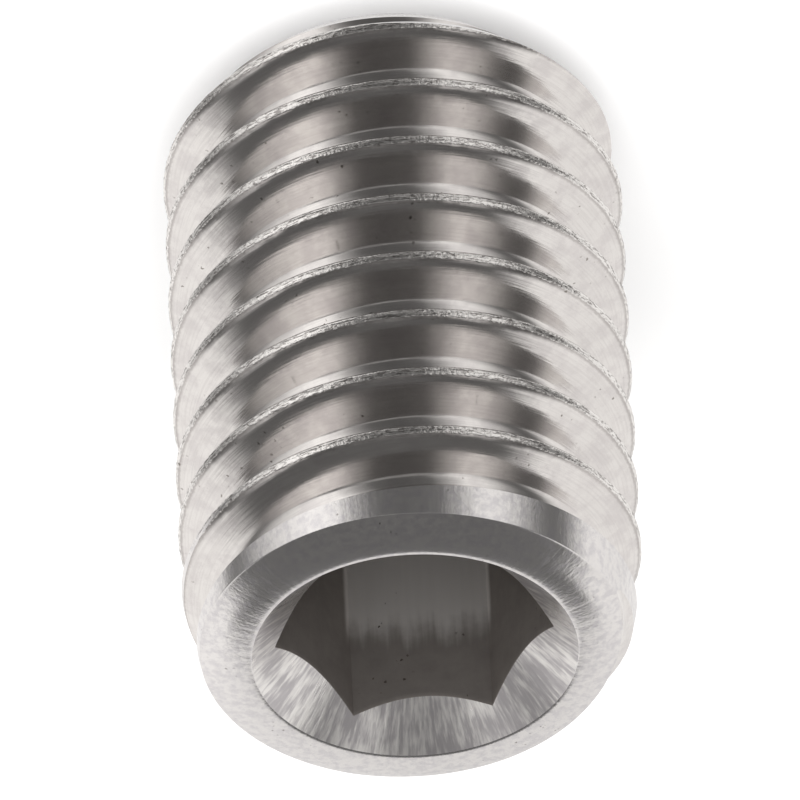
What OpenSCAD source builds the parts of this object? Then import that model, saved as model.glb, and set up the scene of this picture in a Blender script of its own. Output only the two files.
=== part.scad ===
// Socket set screw (grub screw), M8 x 1.25 x 12, flat point.
// It stands on its point, with the hexagon socket at the top and its axis on +Z.
// The origin is the centre of the flat point.
// The body is the blank at the diameter over the thread crests, with its true ends
// and socket. The fine thread belongs to the surface finish.

/* [Body] */
// Diameter over the thread crests
crest_d = 7.8; // [7.4:0.1:12]
// Length from the flat point to the socket face
length = 11.7; // [9:0.1:30]

/* [Flat point] */
// Diameter of the flat point
point_d = 5.5; // [4:0.1:6.8]
// Angle of the point's chamfer to the axis
point_angle = 45; // [30:1:60]

/* [Socket] */
// Width of the hexagon socket across its flats
socket_af = 4.07; // [3:0.01:4.9]
// Depth of the full hexagon below the socket face
socket_depth = 5.2; // [3:0.1:6.5]
// Full angle of the cone at the socket's bottom
drill_angle = 120; // [100:1:150]
// Ledge left between the bottom cone and the flats
drill_ledge = 0.1; // [0.05:0.01:0.3]

/* [Socket end] */
// How far the countersink's mouth lies outside the hexagon's corners
mouth_gap = 0.4; // [0.2:0.01:0.5]
// Full angle of the countersink
mouth_angle = 90; // [80:1:120]
// Width of the flat rim around the mouth
rim_w = 0.07; // [0.03:0.01:0.2]
// Slope of the domed end face where it leaves the rim
rim_angle = 4; // [2:0.5:8]
// Slope that it reaches at its outer edge
edge_angle = 25; // [20:1:50]
// How far that edge lies inside the crest cylinder
lead_inset = 0.28; // [0.1:0.01:0.35]
// Height of the tapered lead between the edge and the crest cylinder
lead_h = 1.41; // [0.5:0.01:2]

/* [Hidden] */

round_fn = 128;
hexagon_sides = 6;
cut_past = 0.5; // how far a cut starts outside the face that it opens

crest_r = crest_d / 2;
point_r = point_d / 2;
socket_corner_r = socket_af / sqrt(3);
mouth_r = socket_corner_r + mouth_gap;
rim_r = mouth_r + rim_w;
lead_r = crest_r - lead_inset;

point_chamfer_h = (crest_r - point_r) / tan(point_angle);
mouth_depth = mouth_r / tan(mouth_angle / 2);
drill_r = socket_af / 2 - drill_ledge;
drill_depth = drill_r / tan(drill_angle / 2);
dome_r = (lead_r - rim_r) / (sin(edge_angle) - sin(rim_angle));
dome_x = rim_r - dome_r * sin(rim_angle);
dome_z = length - dome_r * cos(rim_angle);
edge_z = dome_z + dome_r * cos(edge_angle);

// Half outline of the blank: the point's chamfer, the crest cylinder and the lead, cut off by
// the domed face and its flat rim.
module blank_outline() {
    intersection() {
        polygon([
            [0, 0],
            [point_r, 0],
            [crest_r, point_chamfer_h],
            [crest_r, edge_z - lead_h],
            [lead_r - lead_inset * (length - edge_z) / lead_h, length],
            [0, length]
        ]);
        union() {
            translate([dome_x, dome_z])
                circle(r = dome_r, $fn = round_fn);
            square([2 * crest_r, (edge_z + dome_z) / 2]);
            square([dome_x, 2 * length]);
        }
    }
}

module blank() {
    rotate_extrude($fn = round_fn)
        blank_outline();
}

// Countersink of the socket's mouth: a cone whose tip is inside the socket.
module countersink() {
    translate([0, 0, length - mouth_depth])
        cylinder(h = mouth_depth + cut_past, r1 = 0,
                 r2 = mouth_r + cut_past * tan(mouth_angle / 2), $fn = round_fn);
}

// Hexagon socket, with one pair of flats across Y, and the cone that the drill left.
module hexagon_socket() {
    translate([0, 0, length - socket_depth])
        cylinder(h = socket_depth + cut_past, r = socket_corner_r, $fn = hexagon_sides);
    translate([0, 0, length - socket_depth - drill_depth])
        cylinder(h = drill_depth, r1 = 0, r2 = drill_r, $fn = round_fn);
}

module set_screw() {
    color([0.80, 0.78, 0.76])
        difference() {
            blank();
            countersink();
            hexagon_socket();
        }
}

set_screw();
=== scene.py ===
# %% [markdown]
# # A grub screw in stainless steel
#
# The object is a headless set screw that locks a collar or a knob on its shaft. It is one piece of
# metal: a rolled thread all the way along, a flat point at the bottom and a hexagon socket at the top.
# This file models the thread and the ends over the turned blank that the frame holds, gives each
# surface the finish that its tool left, and sets up a small pale studio round it.

# %% The frame: the blank, its box and its size
import math

import bmesh
import bpy
from mathutils import Matrix, Vector, noise


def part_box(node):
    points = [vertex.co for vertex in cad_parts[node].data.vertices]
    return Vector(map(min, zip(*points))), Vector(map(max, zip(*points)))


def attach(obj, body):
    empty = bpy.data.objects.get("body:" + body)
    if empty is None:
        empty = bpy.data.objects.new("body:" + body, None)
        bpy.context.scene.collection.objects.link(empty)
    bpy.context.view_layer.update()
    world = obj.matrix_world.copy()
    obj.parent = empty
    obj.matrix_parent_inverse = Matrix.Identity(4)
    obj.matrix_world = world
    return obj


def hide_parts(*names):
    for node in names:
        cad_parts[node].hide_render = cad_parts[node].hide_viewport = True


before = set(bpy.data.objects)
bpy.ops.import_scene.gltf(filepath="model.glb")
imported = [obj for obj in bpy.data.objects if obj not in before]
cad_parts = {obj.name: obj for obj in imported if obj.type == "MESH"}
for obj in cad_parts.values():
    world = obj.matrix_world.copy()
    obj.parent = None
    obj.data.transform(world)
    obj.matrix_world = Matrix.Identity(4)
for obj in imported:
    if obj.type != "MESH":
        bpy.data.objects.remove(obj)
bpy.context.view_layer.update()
MM = 0.001

blank_low, blank_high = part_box("set_screw")
length = blank_high.z - blank_low.z
crest_r = (blank_high.x - blank_low.x) / 2
print(f"blank: {2 * crest_r / MM:.2f} mm across and {length / MM:.2f} mm long")

# %% [markdown]
# ## The camera
# The screw is seen from above its socket at a little under forty degrees, through a very long lens, so
# that its sides stay parallel. The camera is rolled nearly half a turn about its own line of sight: the
# socket then points down the picture. The hexagon sits a couple of degrees off the line of sight, so the
# camera stands that far round the screw, and the hexagon itself stays square to the frame.

# %% Camera
view_elevation = math.radians(38.4)
view_azimuth = math.radians(-92.4)
view_distance = 490 * MM
view_roll = math.radians(177.2)
aim_height = 5.49 * MM
sensor = 36
picture_width = 13.54 * MM
picture_shift = -0.0035

aim = Vector((0, 0, length - aim_height))
to_camera = Vector((
    math.cos(view_elevation) * math.cos(view_azimuth),
    math.cos(view_elevation) * math.sin(view_azimuth),
    math.sin(view_elevation),
))
camera_data = bpy.data.cameras.new("studio_camera")
camera_data.sensor_width = sensor
camera_data.lens = sensor * view_distance / picture_width
camera_data.shift_x = picture_shift
camera_data.clip_start = 0.01
camera_data.clip_end = 10
camera = bpy.data.objects.new("studio_camera", camera_data)
bpy.context.scene.collection.objects.link(camera)
turn = (-to_camera).to_track_quat("-Z", "Y").to_matrix().to_4x4() @ Matrix.Rotation(view_roll, 4, "Z")
camera.matrix_world = Matrix.Translation(aim + to_camera * view_distance) @ turn
bpy.context.scene.camera = camera
print(f"camera {view_distance / MM:.0f} mm away, lens {camera_data.lens:.0f} mm")

# %% [markdown]
# ## The thread
# A metric thread is a V with sixty degrees between its flanks, a narrow crest and a round root. The dies
# press the root in and the steel swells up on both sides of it, so the crest is two rounded lips with a
# fine seam between them. Only one pitch of that outline is drawn, from the seam of one crest to the next.
# The Spin operator carries it round and up at the same time, as a rolling die does. That makes one turn.
# Its copies are stacked a pitch apart and merged where they meet.

# %% Thread sizes
pitch = 1.25 * MM
flank_angle = math.radians(30)
crest_flat = 0.13 * MM
crest_round = 0.07 * MM
root_arc = 0.24 * MM
seam_depth = 0.02 * MM
seam_half_width = 0.02 * MM
steps_per_turn = 360
flank_rows = 5
root_rows = 6
crest_depth_at_camera = 1.775 * MM

apex_depth = (pitch / 2 - crest_flat / 2) / math.tan(flank_angle)
root_depth = apex_depth - root_arc
print(f"thread depth {root_depth / MM:.3f} mm, root radius {(crest_r - root_depth) / MM:.3f} mm")


def thread_outline():
    """(radius, height) points of one pitch, from the middle of a crest to the middle of the next."""
    lip = crest_round / 2
    half = [(crest_r - seam_depth, 0), (crest_r, seam_half_width), (crest_r, crest_flat / 2 - lip)]
    flank_start = Vector((crest_r - lip, crest_flat / 2 + lip * math.tan(flank_angle)))
    arc_centre = Vector((crest_r - apex_depth + 2 * root_arc, pitch / 2))
    arc_start = arc_centre + root_arc * Vector((-math.sin(flank_angle), -math.cos(flank_angle)))
    for row in range(flank_rows):
        half.append(tuple(flank_start.lerp(arc_start, row / flank_rows)))
    arc_turn = math.pi / 2 - flank_angle
    for row in range(root_rows // 2):
        angle = arc_turn - arc_turn * row / (root_rows // 2)
        half.append((arc_centre.x - root_arc * math.cos(angle), arc_centre.y - root_arc * math.sin(angle)))
    root = [(crest_r - root_depth, pitch / 2)]
    return half + root + [(r, pitch - z) for r, z in reversed(half)]


# %% Spin the thread
outline = thread_outline()
merge_distance = 0.003 * MM
turns = math.ceil(length / pitch) + 3
first_crest = length - crest_depth_at_camera - pitch * (view_azimuth / math.tau)
first_crest -= pitch * math.ceil((first_crest + pitch) / pitch)

thread = bmesh.new()
corners = [thread.verts.new((r, 0, first_crest + z)) for r, z in outline]
for low, high in zip(corners, corners[1:]):
    thread.edges.new((low, high))
bmesh.ops.spin(
    thread,
    geom=thread.verts[:] + thread.edges[:],
    cent=(0, 0, 0),
    axis=(0, 0, 1),
    dvec=(0, 0, pitch / steps_per_turn),
    angle=math.tau,
    steps=steps_per_turn,
)
one_turn = thread.verts[:] + thread.edges[:] + thread.faces[:]
for turn_number in range(1, turns):
    copy = bmesh.ops.duplicate(thread, geom=one_turn)["geom"]
    bmesh.ops.translate(
        thread, vec=(0, 0, pitch * turn_number), verts=[g for g in copy if isinstance(g, bmesh.types.BMVert)]
    )
bmesh.ops.remove_doubles(thread, verts=thread.verts, dist=merge_distance)
heights = [v.co.z for v in thread.verts]
print(f"{turns} turns, {len(thread.faces)} faces, from {min(heights) / MM:.2f} to {max(heights) / MM:.2f} mm")

# %% [markdown]
# ## Ragged crests and a shallow end
# Rolled crests are never clean: the steel tears a little where the two lips meet. Noise with a fixed seed
# pushes the crest's vertices inwards by a few microns, and up and down by a little more. Near the socket end
# the dies let go: the groove starts shallow there and takes over a third of a turn to reach its full depth,
# which the height of its own root decides. The thread is then cut level past both ends and closed with
# flat caps.

# %% Shape and close the thread
crest_band = 0.04 * MM
lip_wander = 0.011 * MM
lip_climb = 1.5
lip_grain = 9 / MM
lip_seed = 8
groove_start = (-0.05 * MM, 0.42 * MM)
spare_length = 0.2 * MM
cut_tolerance = 0.0001 * MM


def smooth_step(value, start, end):
    """0 before start, 1 after end, and a smooth S between them."""
    t = min(1.0, max(0.0, (value - start) / (end - start)))
    return t * t * (3 - 2 * t)


noise.seed_set(lip_seed)
for vert in thread.verts:
    radius = vert.co.xy.length
    on_crest = smooth_step(radius, crest_r - crest_band, crest_r)
    wander = noise.noise_vector(vert.co * lip_grain) * lip_wander * on_crest
    turns_up = (vert.co.z - first_crest) / pitch - math.atan2(vert.co.y, vert.co.x) / math.tau
    root_height = vert.co.z + (0.5 - turns_up % 1) * pitch
    groove = (crest_r - radius) * smooth_step(length - root_height, *groove_start)
    vert.co.xy *= min(crest_r, crest_r - groove - abs(wander.x)) / radius
    vert.co.z += wander.z * lip_climb


def trim(height, side):
    """Cuts the thread level at a height and clears what lies beyond."""
    bmesh.ops.bisect_plane(
        thread,
        geom=thread.verts[:] + thread.edges[:] + thread.faces[:],
        dist=cut_tolerance,
        plane_co=(0, 0, height),
        plane_no=(0, 0, side),
        clear_outer=True,
    )


trim(-spare_length, -1)
trim(length + spare_length, 1)
bmesh.ops.holes_fill(thread, edges=thread.edges[:], sides=0)
bmesh.ops.recalc_face_normals(thread, faces=thread.faces)
open_count = sum(not e.is_manifold for e in thread.edges)
print(f"thread closed, {open_count} open edges, {len(thread.faces)} faces")

# %% [markdown]
# ## The turned blank
# The blank is drawn the way a turner would cut it, ring after ring: extruding a circle of edges and moving
# its new vertices gives the next ring. It starts in the middle of the flat point, climbs the chamfer and
# the side, narrows along a short taper, the lead, turns over a worn edge on to a domed face with a thin
# level rim, and goes down into the socket. Inside the mouth the rings change from a circle to a hexagon
# while they stay on the countersink's cone, which gives the scalloped edge that a broached socket shows.

# %% The blank's sizes
point_r = 2.75 * MM
rim_r = 2.82 * MM
rim_lean = math.radians(4)
edge_lean = math.radians(25)
lead_r = 3.62 * MM
lead_h = 1.41 * MM
hexagon_sides = 6
socket_af = 4.07 * MM
socket_depth = 5.2 * MM
mouth_gap = 0.4 * MM
mouth_r = socket_af / math.sqrt(3) + mouth_gap
drill_ledge = 0.1 * MM
drill_half_angle = math.radians(60)
drill_r = socket_af / 2 - drill_ledge
drill_depth = drill_r / math.tan(drill_half_angle)

# The face is a dome: it slopes by rim_lean at the rim, and by edge_lean at the edge where the lead begins.
dome_r = (lead_r - rim_r) / (math.sin(edge_lean) - math.sin(rim_lean))
dome_centre = (rim_r - dome_r * math.sin(rim_lean), length - dome_r * math.cos(rim_lean))
edge_height = dome_centre[1] + dome_r * math.cos(edge_lean)
lead_lean = math.pi / 2 - math.atan2(crest_r - lead_r, lead_h)
print(f"end face: a dome of {dome_r / MM:.2f} mm radius, falling {(length - edge_height) / MM:.3f} mm")

# %% Ring helpers
ring_steps = 240
ROLLED, TURNED, COUNTERSINK, SOCKET = range(4)

blank = bmesh.new()


def grow(edges, finish):
    """Extrudes a ring of edges and gives the new faces a material number."""
    made = bmesh.ops.extrude_edge_only(blank, edges=edges)["geom"]
    for face in (g for g in made if isinstance(g, bmesh.types.BMFace)):
        face.material_index = finish
    verts = [g for g in made if isinstance(g, bmesh.types.BMVert)]
    return verts, [g for g in made if isinstance(g, bmesh.types.BMEdge) and g.is_boundary]


def next_ring(edges, place, finish):
    """Adds a ring. place is a (radius, height) pair, or gives one in each direction from the axis."""
    verts, ring = grow(edges, finish)
    for vert in verts:
        angle = math.atan2(vert.co.y, vert.co.x)
        radius, height = place(angle) if callable(place) else place
        vert.co = (radius * math.cos(angle), radius * math.sin(angle), height)
    return ring


def arc(centre, radius, start, end, steps):
    """Points round an arc. The angles lean from straight up, 0, to straight out, a quarter turn."""
    leans = [start + (end - start) * step / steps for step in range(steps + 1)]
    return [(centre[0] + radius * math.sin(a), centre[1] + radius * math.cos(a)) for a in leans]


# %% The point, the side and the face
point_round = 0.06 * MM
side_spare = 0.02 * MM
worn_edge = 0.04 * MM
edge_rows = 4
face_rows = 14
face_start = 0.95
side_r = crest_r + side_spare
middle_r = point_r / 5

bmesh.ops.create_circle(blank, cap_ends=True, cap_tris=True, segments=ring_steps, radius=middle_r)
for face in blank.faces:
    face.material_index = TURNED
ring = [e for e in blank.edges if e.is_boundary]
point_rings = [(point_r * share, 0) for share in (0.4, 0.6, 0.8)]
point_rings += [(point_r - point_round, 0), (point_r - point_round * 0.1, point_round * 0.25)]
chamfer_rings = [(point_r + rise, rise) for rise in (point_round, (side_r - point_r) / 2, side_r - point_r)]
lead_foot = (side_r, edge_height - (side_r - lead_r) * math.tan(lead_lean))
turn_lean = (lead_lean + edge_lean) / 2
reach = worn_edge / math.cos((lead_lean - edge_lean) / 2)
edge_centre = (lead_r - reach * math.sin(turn_lean), edge_height - reach * math.cos(turn_lean))
edge_rings = arc(edge_centre, worn_edge, lead_lean, edge_lean, edge_rows)
face_rings = arc(dome_centre, dome_r, edge_lean * face_start, rim_lean, face_rows)
for place in point_rings + chamfer_rings + [lead_foot] + edge_rings + face_rings:
    ring = next_ring(ring, place, TURNED)
print(f"blank turned to {len(blank.faces)} faces, lead from {lead_foot[1] / MM:.2f} mm up")

# %% The mouth, the countersink and the hexagon socket
mouth_round = 0.03 * MM
mouth_drop = 0.15 * mouth_round
cone_rows = 10
cone_end_gap = 0.012
wall_rows = 8
floor_height = length - socket_depth


def hexagon_radius(angle):
    """Distance from the axis to the hexagon's flat in that direction. A corner lies on +X."""
    side = math.tau / hexagon_sides
    return socket_af / 2 / math.cos((angle % side) - side / 2)


def on_cone(share):
    """A ring that lies a share of the way from the mouth's circle to the hexagon, on the cone."""
    def place(angle):
        radius = mouth_r + (hexagon_radius(angle) - mouth_r) * share
        return radius, length - mouth_drop - (mouth_r - radius)
    return place


def on_wall(share):
    """A ring that lies a share of the way down the hexagon's walls."""
    def place(angle):
        radius, top = on_cone(1)(angle)
        top -= mouth_round / 2
        return radius, top + (floor_height - top) * share
    return place


ring = next_ring(ring, (mouth_r + mouth_round / 2, length), TURNED)
ring = next_ring(ring, (mouth_r, length - mouth_drop), TURNED)
for row in range(1, cone_rows + 1):
    ring = next_ring(ring, on_cone(row / cone_rows - cone_end_gap), COUNTERSINK)
for row in range(wall_rows + 1):
    ring = next_ring(ring, on_wall((row / wall_rows) ** 2), SOCKET)
for share in (1, 0.75, 0.5, 0.25, 0.05):
    ring = next_ring(ring, (drill_r * share, floor_height - drill_depth * (1 - share)), SOCKET)
verts, ring = grow(ring, SOCKET)
bmesh.ops.pointmerge(blank, verts=verts, merge_co=(0, 0, floor_height - drill_depth))
bmesh.ops.recalc_face_normals(blank, faces=blank.faces)
open_count = sum(not e.is_manifold for e in blank.edges)
print(f"blank closed, {open_count} open edges, mouth {2 * mouth_r / MM:.2f} mm across")

# %% [markdown]
# ## Thread and blank together
# The screw is what the thread and the blank have in common, which is what a Boolean modifier set to
# Intersect keeps. It gives the exact line where the groove runs out through the lead and the end face. The
# two shapes are solid, closed and never share a surface, so the quick Manifold solver can be used.

# %% Intersect them
def new_object(name, shape):
    """An object that holds a bmesh, with a slot ready for each finish."""
    mesh = bpy.data.meshes.new(name)
    shape.to_mesh(mesh)
    shape.free()
    for _ in (ROLLED, TURNED, COUNTERSINK, SOCKET):
        mesh.materials.append(None)
    made = bpy.data.objects.new(name, mesh)
    bpy.context.scene.collection.objects.link(made)
    return made


thread_object = new_object("rolled_thread", thread)
blank_object = new_object("turned_blank", blank)
common = thread_object.modifiers.new("common_part", "BOOLEAN")
common.operation = "INTERSECT"
common.solver = "MANIFOLD"
common.object = blank_object
depsgraph = bpy.context.evaluated_depsgraph_get()
mesh = bpy.data.meshes.new_from_object(thread_object.evaluated_get(depsgraph))
bpy.data.objects.remove(thread_object)
bpy.data.objects.remove(blank_object)

screw = bmesh.new()
screw.from_mesh(mesh)
open_edges = [e for e in screw.edges if not e.is_manifold]
print(f"closed: {len(open_edges)} open edges, volume {screw.calc_volume() / MM**3:.1f} mm3")

# %% The finished mesh
sharp_angle = math.radians(38)

for face in screw.faces:
    face.smooth = True
for edge in screw.edges:
    one_finish = len({face.material_index for face in edge.link_faces}) == 1
    edge.smooth = one_finish and edge.calc_face_angle(0) < sharp_angle
screw.to_mesh(mesh)
screw.free()
mesh.name = "threaded_screw"
screw_piece = bpy.data.objects.new("threaded_screw", mesh)
bpy.context.scene.collection.objects.link(screw_piece)
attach(screw_piece, "root")
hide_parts("set_screw")
mesh.calc_loop_triangles()
print(f"{len(mesh.loop_triangles)} triangles")

# %% [markdown]
# ## Where a point lies on the screw
# Every finish on this screw follows the way it was made: rolled marks run along the groove and turned marks
# run round or down the blank, and a painted shade line runs just under the crests. A node group works out,
# from the Object coordinates, how far a point is from the axis, how high it is, how far round, and how far
# across the thread. All the materials share it.

# %% Node helpers
def new_group(name, inputs, outputs):
    """A shader node group with named inputs, as (name, type, default), and outputs, as (name, type)."""
    group = bpy.data.node_groups.new(name, "ShaderNodeTree")
    for socket_name, kind, default in inputs:
        group.interface.new_socket(socket_name, in_out="INPUT", socket_type=kind).default_value = default
    for socket_name, kind in outputs:
        group.interface.new_socket(socket_name, in_out="OUTPUT", socket_type=kind)
    return group, group.nodes.new("NodeGroupInput").outputs, group.nodes.new("NodeGroupOutput").inputs


def plug(tree, socket, value):
    """Links another node's output to a socket, or sets the socket to a plain value."""
    if isinstance(value, bpy.types.NodeSocket):
        tree.links.new(value, socket)
    else:
        socket.default_value = value


def math_node(tree, operation, *values, clamp=False):
    """A Math node. Each value is a number or another node's output."""
    node = tree.nodes.new("ShaderNodeMath")
    node.operation = operation
    node.use_clamp = clamp
    for socket, value in zip(node.inputs, values):
        plug(tree, socket, value)
    return node.outputs[0]


def ease(tree, value, start, end, low=0.0, high=1.0):
    """A Map Range node with a smooth S from low at start to high at end."""
    node = tree.nodes.new("ShaderNodeMapRange")
    node.interpolation_type = "SMOOTHSTEP"
    for socket, number in zip(node.inputs, (value, start, end, low, high)):
        plug(tree, socket, number)
    return node.outputs[0]


def point_at(tree, x, y, z):
    """A Combine XYZ node."""
    node = tree.nodes.new("ShaderNodeCombineXYZ")
    for socket, value in zip(node.inputs, (x, y, z)):
        plug(tree, socket, value)
    return node.outputs[0]


def noise_at(tree, vector, scale, detail=2.0, rough=0.5):
    """A Noise Texture's grey value, about 0.5 on average."""
    node = tree.nodes.new("ShaderNodeTexNoise")
    plug(tree, node.inputs["Vector"], vector)
    plug(tree, node.inputs["Scale"], scale)
    node.inputs["Detail"].default_value = detail
    node.inputs["Roughness"].default_value = rough
    return node.outputs["Fac"]


def blend_colours(tree, share, first, second):
    """A Mix node for colours."""
    node = tree.nodes.new("ShaderNodeMix")
    node.data_type = "RGBA"
    plug(tree, node.inputs[0], share)
    plug(tree, node.inputs[6], first)
    plug(tree, node.inputs[7], second)
    return node.outputs[2]


def use_group(tree, group, **values):
    """Places a node group in a tree, sets or links its inputs and returns its outputs."""
    node = tree.nodes.new("ShaderNodeGroup")
    node.node_tree = group
    for name, value in values.items():
        plug(tree, node.inputs[name.replace("_", " ")], value)
    return node.outputs


# %% The place on the screw, in millimetres and turns
place_group, _, place_out = new_group("place_on_screw", [], [
    ("Point", "NodeSocketVector"), ("Radius", "NodeSocketFloat"), ("Height", "NodeSocketFloat"),
    ("Round", "NodeSocketFloat"), ("Across", "NodeSocketFloat"),
])
coords = place_group.nodes.new("ShaderNodeTexCoord")
in_mm = place_group.nodes.new("ShaderNodeVectorMath")
in_mm.operation = "SCALE"
in_mm.inputs["Scale"].default_value = 1 / MM
place_group.links.new(coords.outputs["Object"], in_mm.inputs[0])
split = place_group.nodes.new("ShaderNodeSeparateXYZ")
place_group.links.new(in_mm.outputs[0], split.inputs[0])
x, y, z = split.outputs
radius = math_node(place_group, "SQRT", math_node(
    place_group, "ADD", math_node(place_group, "MULTIPLY", x, x), math_node(place_group, "MULTIPLY", y, y)
))
turn = math_node(place_group, "DIVIDE", math_node(place_group, "ARCTAN2", y, x), math.tau)
rise = math_node(place_group, "DIVIDE", math_node(place_group, "SUBTRACT", z, first_crest / MM), pitch / MM)
across = math_node(place_group, "FRACT", math_node(place_group, "SUBTRACT", rise, turn))
for name, value in (("Point", in_mm.outputs[0]), ("Radius", radius), ("Height", z), ("Round", turn),
                    ("Across", across)):
    place_group.links.new(value, place_out[name])
print(f"place_on_screw: {len(place_group.nodes)} nodes")

# %% [markdown]
# ## Marks that several finishes share
# Tumbled stainless steel is mottled: it has faint warmer and cooler patches, a fine frost where parts
# knocked against each other, and a scatter of dark specks of old oil. One group gives the mottled colour,
# and a second gives the specks as a mask, so that each finish can have its own strength.

# %% Mottle and specks
mottle_group, mottle_in, mottle_out = new_group("mottled_steel", [
    ("Point", "NodeSocketVector", (0, 0, 0)), ("Light", "NodeSocketColor", (0.78, 0.75, 0.73, 1)),
    ("Dark", "NodeSocketColor", (0.60, 0.57, 0.57, 1)), ("Scale", "NodeSocketFloat", 1.0),
], [("Colour", "NodeSocketColor"), ("Patches", "NodeSocketFloat")])
broad = noise_at(mottle_group, mottle_in["Point"], mottle_in["Scale"], detail=4, rough=0.6)
patches = ease(mottle_group, broad, 0.38, 0.66)
toned = blend_colours(mottle_group, patches, mottle_in["Light"], mottle_in["Dark"])
mottle_group.links.new(toned, mottle_out["Colour"])
mottle_group.links.new(patches, mottle_out["Patches"])

speck_group, speck_in, speck_out = new_group("dark_specks", [
    ("Point", "NodeSocketVector", (0, 0, 0)), ("Size", "NodeSocketFloat", 9.0),
    ("Amount", "NodeSocketFloat", 0.3),
], [("Mask", "NodeSocketFloat")])
cells = speck_group.nodes.new("ShaderNodeTexVoronoi")
speck_group.links.new(speck_in["Point"], cells.inputs["Vector"])
speck_group.links.new(speck_in["Size"], cells.inputs["Scale"])
uneven = noise_at(speck_group, speck_in["Point"], 26.0, detail=2)
ragged = math_node(speck_group, "MULTIPLY_ADD", uneven, 0.55, cells.outputs["Distance"])
spot = ease(speck_group, ragged, 0.34, 0.46, 1.0, 0.0)
zones = noise_at(speck_group, speck_in["Point"], 0.9, detail=3)
wanted = math_node(speck_group, "MULTIPLY_ADD", speck_in["Amount"], -0.5, 0.75)
zone = ease(speck_group, math_node(speck_group, "SUBTRACT", zones, wanted), -0.02, 0.06)
chosen = noise_at(speck_group, speck_in["Point"], 5.0, detail=1)
speck = math_node(speck_group, "MULTIPLY", math_node(speck_group, "MULTIPLY", spot, zone),
                  ease(speck_group, chosen, 0.45, 0.6))
speck_group.links.new(speck, speck_out["Mask"])
print("shared groups:", [group.name for group in bpy.data.node_groups])

# %% [markdown]
# ## The finishes
# Each finish is its own material, because each surface was made by another tool. The metal itself is the
# same everywhere, a warm light grey, except in the socket, whose colour holds painted light and shade.
# Metallic stands at 1 on the rolled thread and a little lower where oil and stains dull the metal, lowest in
# the socket. What else differs is how rough it is, which way its marks run, and where dirt or frost has
# gathered.

# %% The start of a finish
def start_finish(name, metallic=1.0):
    """A metallic material and the outputs of the shared place group."""
    material = bpy.data.materials.new(name)
    material.use_nodes = True
    tree = material.node_tree
    shader = tree.nodes["Principled BSDF"]
    shader.inputs["Metallic"].default_value = metallic
    return material, tree, shader, use_group(tree, place_group)


def add_bump(tree, shader, height, depth):
    """Feeds a height, 0 to 1, through a Bump node. depth is what a height of 1 means, in metres."""
    bump = tree.nodes.new("ShaderNodeBump")
    bump.inputs["Distance"].default_value = depth
    plug(tree, bump.inputs["Height"], height)
    tree.links.new(bump.outputs[0], shader.inputs["Normal"])


# %% Rolled steel: the groove and the crests
def rolled_steel():
    """Smooth flanks with marks along the groove, frosted crests and a painted shade line just under them."""
    material, tree, shader, place = start_finish("rolled_steel")
    flow = point_at(tree, math_node(tree, "MULTIPLY", place["Round"], 14.0),
                    math_node(tree, "MULTIPLY", place["Across"], 9.0),
                    math_node(tree, "MULTIPLY", place["Height"], 0.8))
    fine_flow = point_at(tree, math_node(tree, "MULTIPLY", place["Round"], 26.0),
                         math_node(tree, "MULTIPLY", place["Across"], 70.0), place["Height"])
    grain = noise_at(tree, place["Point"], 16.0, detail=3)
    ragged = math_node(tree, "MULTIPLY_ADD", grain, 0.05, -0.025)
    edge = math_node(tree, "ADD", place["Radius"], ragged)
    crest = ease(tree, edge, crest_r / MM - 0.04, crest_r / MM - 0.02)
    # painted shade: a dark line on the flank just under each crest
    shade_line = math_node(tree, "MULTIPLY", ease(tree, edge, crest_r / MM - 0.09, crest_r / MM - 0.045),
                           math_node(tree, "SUBTRACT", 1.0, crest))
    mottle = use_group(tree, mottle_group, Point=place["Point"], Scale=2.6, Light=(0.77, 0.745, 0.725, 1),
                       Dark=(0.69, 0.66, 0.65, 1))
    lines = noise_at(tree, fine_flow, 1.0, detail=3)
    brushed = ease(tree, lines, 0.42, 0.66, 0.0, 0.25)
    colour = blend_colours(tree, brushed, mottle["Colour"], (0.58, 0.55, 0.54, 1))
    # the painted shade line, at half strength
    colour = blend_colours(tree, math_node(tree, "MULTIPLY", shade_line, 0.5), colour,
                           (0.30, 0.275, 0.265, 1))
    colour = blend_colours(tree, crest, colour, (0.86, 0.84, 0.82, 1))
    torn = point_at(tree, math_node(tree, "MULTIPLY", place["Round"], 190.0),
                    math_node(tree, "MULTIPLY", place["Across"], 60.0), place["Height"])
    pits = ease(tree, noise_at(tree, torn, 1.0, detail=3, rough=0.65), 0.50, 0.60)
    colour = blend_colours(tree, math_node(tree, "MULTIPLY", pits, crest), colour, (0.36, 0.34, 0.33, 1))
    specks = use_group(tree, speck_group, Point=place["Point"], Size=6.0, Amount=0.46)["Mask"]
    colour = blend_colours(tree, specks, colour, (0.22, 0.20, 0.18, 1))
    tree.links.new(colour, shader.inputs["Base Color"])
    roughness = math_node(tree, "MULTIPLY_ADD", mottle["Patches"], 0.05, 0.12)
    roughness = math_node(tree, "MULTIPLY_ADD", crest, 0.10, roughness)
    tree.links.new(roughness, shader.inputs["Roughness"])
    waves = noise_at(tree, flow, 1.0, detail=2)
    frost = math_node(tree, "MULTIPLY", noise_at(tree, place["Point"], 19.0, detail=2),
                      math_node(tree, "MULTIPLY_ADD", crest, 0.55, 0.01))
    height = math_node(tree, "ADD", math_node(tree, "MULTIPLY_ADD", lines, 0.09, frost),
                       math_node(tree, "MULTIPLY", waves, 0.12))
    add_bump(tree, shader, height, 0.012 * MM)
    return material


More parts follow.
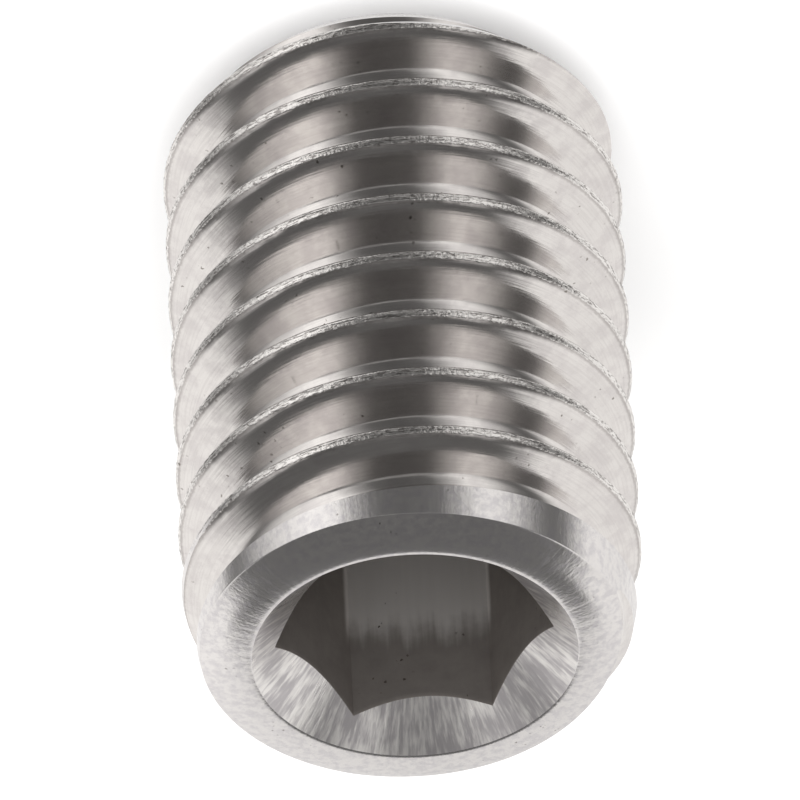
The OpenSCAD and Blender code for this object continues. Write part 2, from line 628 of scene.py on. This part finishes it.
# %% Turned steel: the lead, the end face and the point
def turned_steel():
    """Tumbled turned steel: soft frost, short scratches along the screw and a mottled tone."""
    material, tree, shader, place = start_finish("turned_steel", 0.98)
    scratch = point_at(tree, math_node(tree, "MULTIPLY", place["Round"], 190.0), place["Radius"],
                       math_node(tree, "MULTIPLY", place["Height"], 1.5))
    mottle = use_group(tree, mottle_group, Point=place["Point"], Scale=7.0, Light=(0.76, 0.74, 0.73, 1),
                       Dark=(0.66, 0.64, 0.65, 1))
    specks = use_group(tree, speck_group, Point=place["Point"], Size=8.0, Amount=0.40)["Mask"]
    colour = blend_colours(tree, specks, mottle["Colour"], (0.24, 0.22, 0.21, 1))
    tree.links.new(colour, shader.inputs["Base Color"])
    roughness = math_node(tree, "MULTIPLY_ADD", mottle["Patches"], 0.06, 0.14)
    tree.links.new(roughness, shader.inputs["Roughness"])
    frost = noise_at(tree, place["Point"], 18.0, detail=4)
    height = math_node(tree, "MULTIPLY_ADD", noise_at(tree, scratch, 1.0, detail=2), 1.4, frost)
    add_bump(tree, shader, height, 0.0016 * MM)
    return material


# %% Countersink steel: radial tool marks
def countersink_steel():
    """Pressed steel with streaks that run down the cone into the socket."""
    material, tree, shader, place = start_finish("countersink_steel", 0.95)
    streaks = point_at(tree, math_node(tree, "MULTIPLY", place["Round"], 210.0),
                       math_node(tree, "MULTIPLY", place["Radius"], 2.4), place["Height"])
    coarse = point_at(tree, math_node(tree, "MULTIPLY", place["Round"], 20.0),
                      math_node(tree, "MULTIPLY", place["Radius"], 1.5), place["Height"])
    fine = noise_at(tree, streaks, 1.0, detail=3, rough=0.6)
    broad = noise_at(tree, coarse, 1.0, detail=3)
    tone = ease(tree, math_node(tree, "MULTIPLY_ADD", fine, 0.6, math_node(tree, "MULTIPLY", broad, 0.4)),
                0.40, 0.60)
    colour = blend_colours(tree, tone, (0.82, 0.80, 0.78, 1), (0.48, 0.46, 0.47, 1))
    tree.links.new(colour, shader.inputs["Base Color"])
    roughness = math_node(tree, "MULTIPLY_ADD", broad, 0.3, 0.16)
    tree.links.new(roughness, shader.inputs["Roughness"])
    height = math_node(tree, "MULTIPLY_ADD", broad, 0.6, fine)
    add_bump(tree, shader, height, 0.006 * MM)
    return material


# %% Socket steel: broached walls with painted light and painted shade
def socket_steel():
    """Walls with lines along the broach's stroke: painted shade all round, darker towards the mouth, and a
    painted light patch low on the +Y wall.
    """
    material, tree, shader, place = start_finish("socket_steel", 0.87)
    strokes = point_at(tree, math_node(tree, "MULTIPLY", place["Round"], 90.0), 0.37,
                       math_node(tree, "MULTIPLY", place["Height"], 0.35))
    lines = noise_at(tree, strokes, 1.0, detail=3)
    blots = noise_at(tree, place["Point"], 2.6, detail=4, rough=0.65)
    uneven = math_node(tree, "MULTIPLY_ADD", lines, 0.8, math_node(tree, "MULTIPLY", blots, 0.5))
    # painted light mask: 1 low in the socket, 0 towards the mouth, with a ragged edge
    deep_lit_mask = ease(tree, math_node(tree, "ADD", uneven, place["Height"]), length / MM - 1.9,
                       length / MM - 1.1, 1.0, 0.0)
    split = tree.nodes.new("ShaderNodeSeparateXYZ")
    tree.links.new(place["Point"], split.inputs[0])
    # only the wall on the +Y side gets the painted light
    wall = ease(tree, split.outputs["Y"], socket_af / MM / 2 - 0.15, socket_af / MM / 2 - 0.03)
    # a bright painted light colour and a dark painted shade colour, with lines and blots in each
    painted_light_colour = blend_colours(tree, lines, (0.93, 0.90, 0.87, 1), (0.84, 0.81, 0.78, 1))
    painted_shade_colour = blend_colours(tree, blots, (0.28, 0.255, 0.24, 1), (0.43, 0.395, 0.37, 1))
    # painted shade everywhere in the socket, except the painted light patch low on the +Y wall
    colour = blend_colours(tree, math_node(tree, "MULTIPLY", wall, deep_lit_mask), painted_shade_colour, painted_light_colour)
    specks = use_group(tree, speck_group, Point=place["Point"], Size=6.0, Amount=0.36)["Mask"]
    colour = blend_colours(tree, specks, colour, (0.12, 0.10, 0.09, 1))
    tree.links.new(colour, shader.inputs["Base Color"])
    tree.links.new(math_node(tree, "MULTIPLY_ADD", lines, 0.2, 0.45), shader.inputs["Roughness"])
    add_bump(tree, shader, lines, 0.003 * MM)
    return material


# %% Give the mesh its finishes
finishes = {ROLLED: rolled_steel, TURNED: turned_steel, COUNTERSINK: countersink_steel, SOCKET: socket_steel}
for number, finish in finishes.items():
    mesh.materials[number] = finish()
    area = sum(polygon.area for polygon in mesh.polygons if polygon.material_index == number)
    print(f"{mesh.materials[number].name}: {area / MM**2:.1f} mm2")

# %% [markdown]
# ## The studio
# Bare metal has no colour of its own to speak of: it shows what stands round it. The world is therefore
# a light tent drawn as a function of direction. It is white nearly everywhere, with a dark hole overhead
# that narrows towards both of its ends, the dark of the camera in front, and a narrow gap on each side
# between the front cards and the tent.

# %% World
tent_stops = (
    (-180, 0.85), (-150, 1.0), (-133, 0.95), (-114, 1.0), (-100, 1.0), (-92, 0.7), (-84, 0.2), (-76, 0.12),
    (-68, 0.2), (-60, 0.5), (-48, 0.95), (-38, 1.0), (-28, 0.48), (-18, 0.13), (0, 0.1), (14, 0.13),
    (24, 0.45), (34, 1.15), (46, 1.2), (58, 0.95), (70, 0.7), (80, 0.45), (90, 0.2), (98, 0.2),
    (106, 0.8), (114, 1.05), (133, 1.05), (150, 1.1), (165, 0.95), (180, 0.85),
)
tent_peak = 1.4
dark_level = 0.125
hole_start = 0.625
hole_end = 0.68
hole_half_width = 0.50
hole_fade = 0.12
hole_shift = 0.04
near_narrowing = 0.12
far_narrowing = 0.25
front_level = 0.32
tent_tint = (1.0, 0.985, 0.97)

world = bpy.data.worlds.new("light_tent")
bpy.context.scene.world = world
world.use_nodes = True
tree = world.node_tree
background = tree.nodes["Background"]
coords = tree.nodes.new("ShaderNodeTexCoord")
split = tree.nodes.new("ShaderNodeSeparateXYZ")
tree.links.new(coords.outputs["Generated"], split.inputs[0])
x, y, z = split.outputs
bearing = math_node(tree, "ARCTAN2", x, math_node(tree, "MULTIPLY", y, -1.0))
ramp = tree.nodes.new("ShaderNodeValToRGB")
tree.links.new(math_node(tree, "MULTIPLY_ADD", bearing, 1 / math.tau, 0.5), ramp.inputs[0])
elements = ramp.color_ramp.elements
for number, (degrees, level) in enumerate(tent_stops):
    place = degrees / 360 + 0.5
    element = elements[number] if number < 2 else elements.new(place)
    element.position = place
    element.color = (*(level / tent_peak,) * 3, 1)
wall = math_node(tree, "MULTIPLY", ramp.outputs[0], tent_peak)
above = ease(tree, z, hole_start, hole_end)
off_centre = math_node(tree, "ABSOLUTE", math_node(tree, "SUBTRACT", x, hole_shift))
narrowing = math_node(tree, "ADD", ease(tree, y, -0.6, -0.2, near_narrowing, 0.0),
                      ease(tree, y, 0.35, 0.65, 0.0, far_narrowing))
between = ease(tree, math_node(tree, "ADD", off_centre, narrowing), hole_half_width,
               hole_half_width + hole_fade, 1.0, 0.0)
hole = math_node(tree, "MULTIPLY", above, between)
overhead = ease(tree, y, -0.75, -0.4, front_level, dark_level)
outside = math_node(tree, "MULTIPLY", wall, math_node(tree, "SUBTRACT", 1.0, hole))
light = math_node(tree, "MULTIPLY_ADD", hole, overhead, outside)
tree.links.new(light, background.inputs["Strength"])
background.inputs["Color"].default_value = (*tent_tint, 1)
print(f"tent: {len(tent_stops)} stops round, hole from {math.degrees(math.asin(hole_start)):.0f} degrees up")

# %% Floor
floor_size = 2.0
floor_mesh = bmesh.new()
bmesh.ops.create_grid(floor_mesh, x_segments=1, y_segments=1, size=floor_size)
floor_data = bpy.data.meshes.new("pale_floor")
floor_mesh.to_mesh(floor_data)
floor_mesh.free()
pale_floor = bpy.data.objects.new("pale_floor", floor_data)
bpy.context.scene.collection.objects.link(pale_floor)
pale_floor.visible_glossy = False
paper = bpy.data.materials.new("pale_paper")
paper.use_nodes = True
shader = paper.node_tree.nodes["Principled BSDF"]
shader.inputs["Base Color"].default_value = (0.93, 0.93, 0.93, 1)
shader.inputs["Roughness"].default_value = 0.9
floor_data.materials.append(paper)

# %% Overhead lamp, for the floor and what little the metal scatters
lamp_data = bpy.data.lights.new("overhead_lamp", "AREA")
lamp_data.size = 0.6
lamp_data.energy = 6.0
lamp = bpy.data.objects.new("overhead_lamp", lamp_data)
lamp.location = (0.0, -0.35, 0.4)
lamp.rotation_euler = (-lamp.location).to_track_quat("-Z", "Y").to_euler()
lamp.visible_glossy = False
bpy.context.scene.collection.objects.link(lamp)
bpy.context.scene.view_settings.view_transform = "Standard"
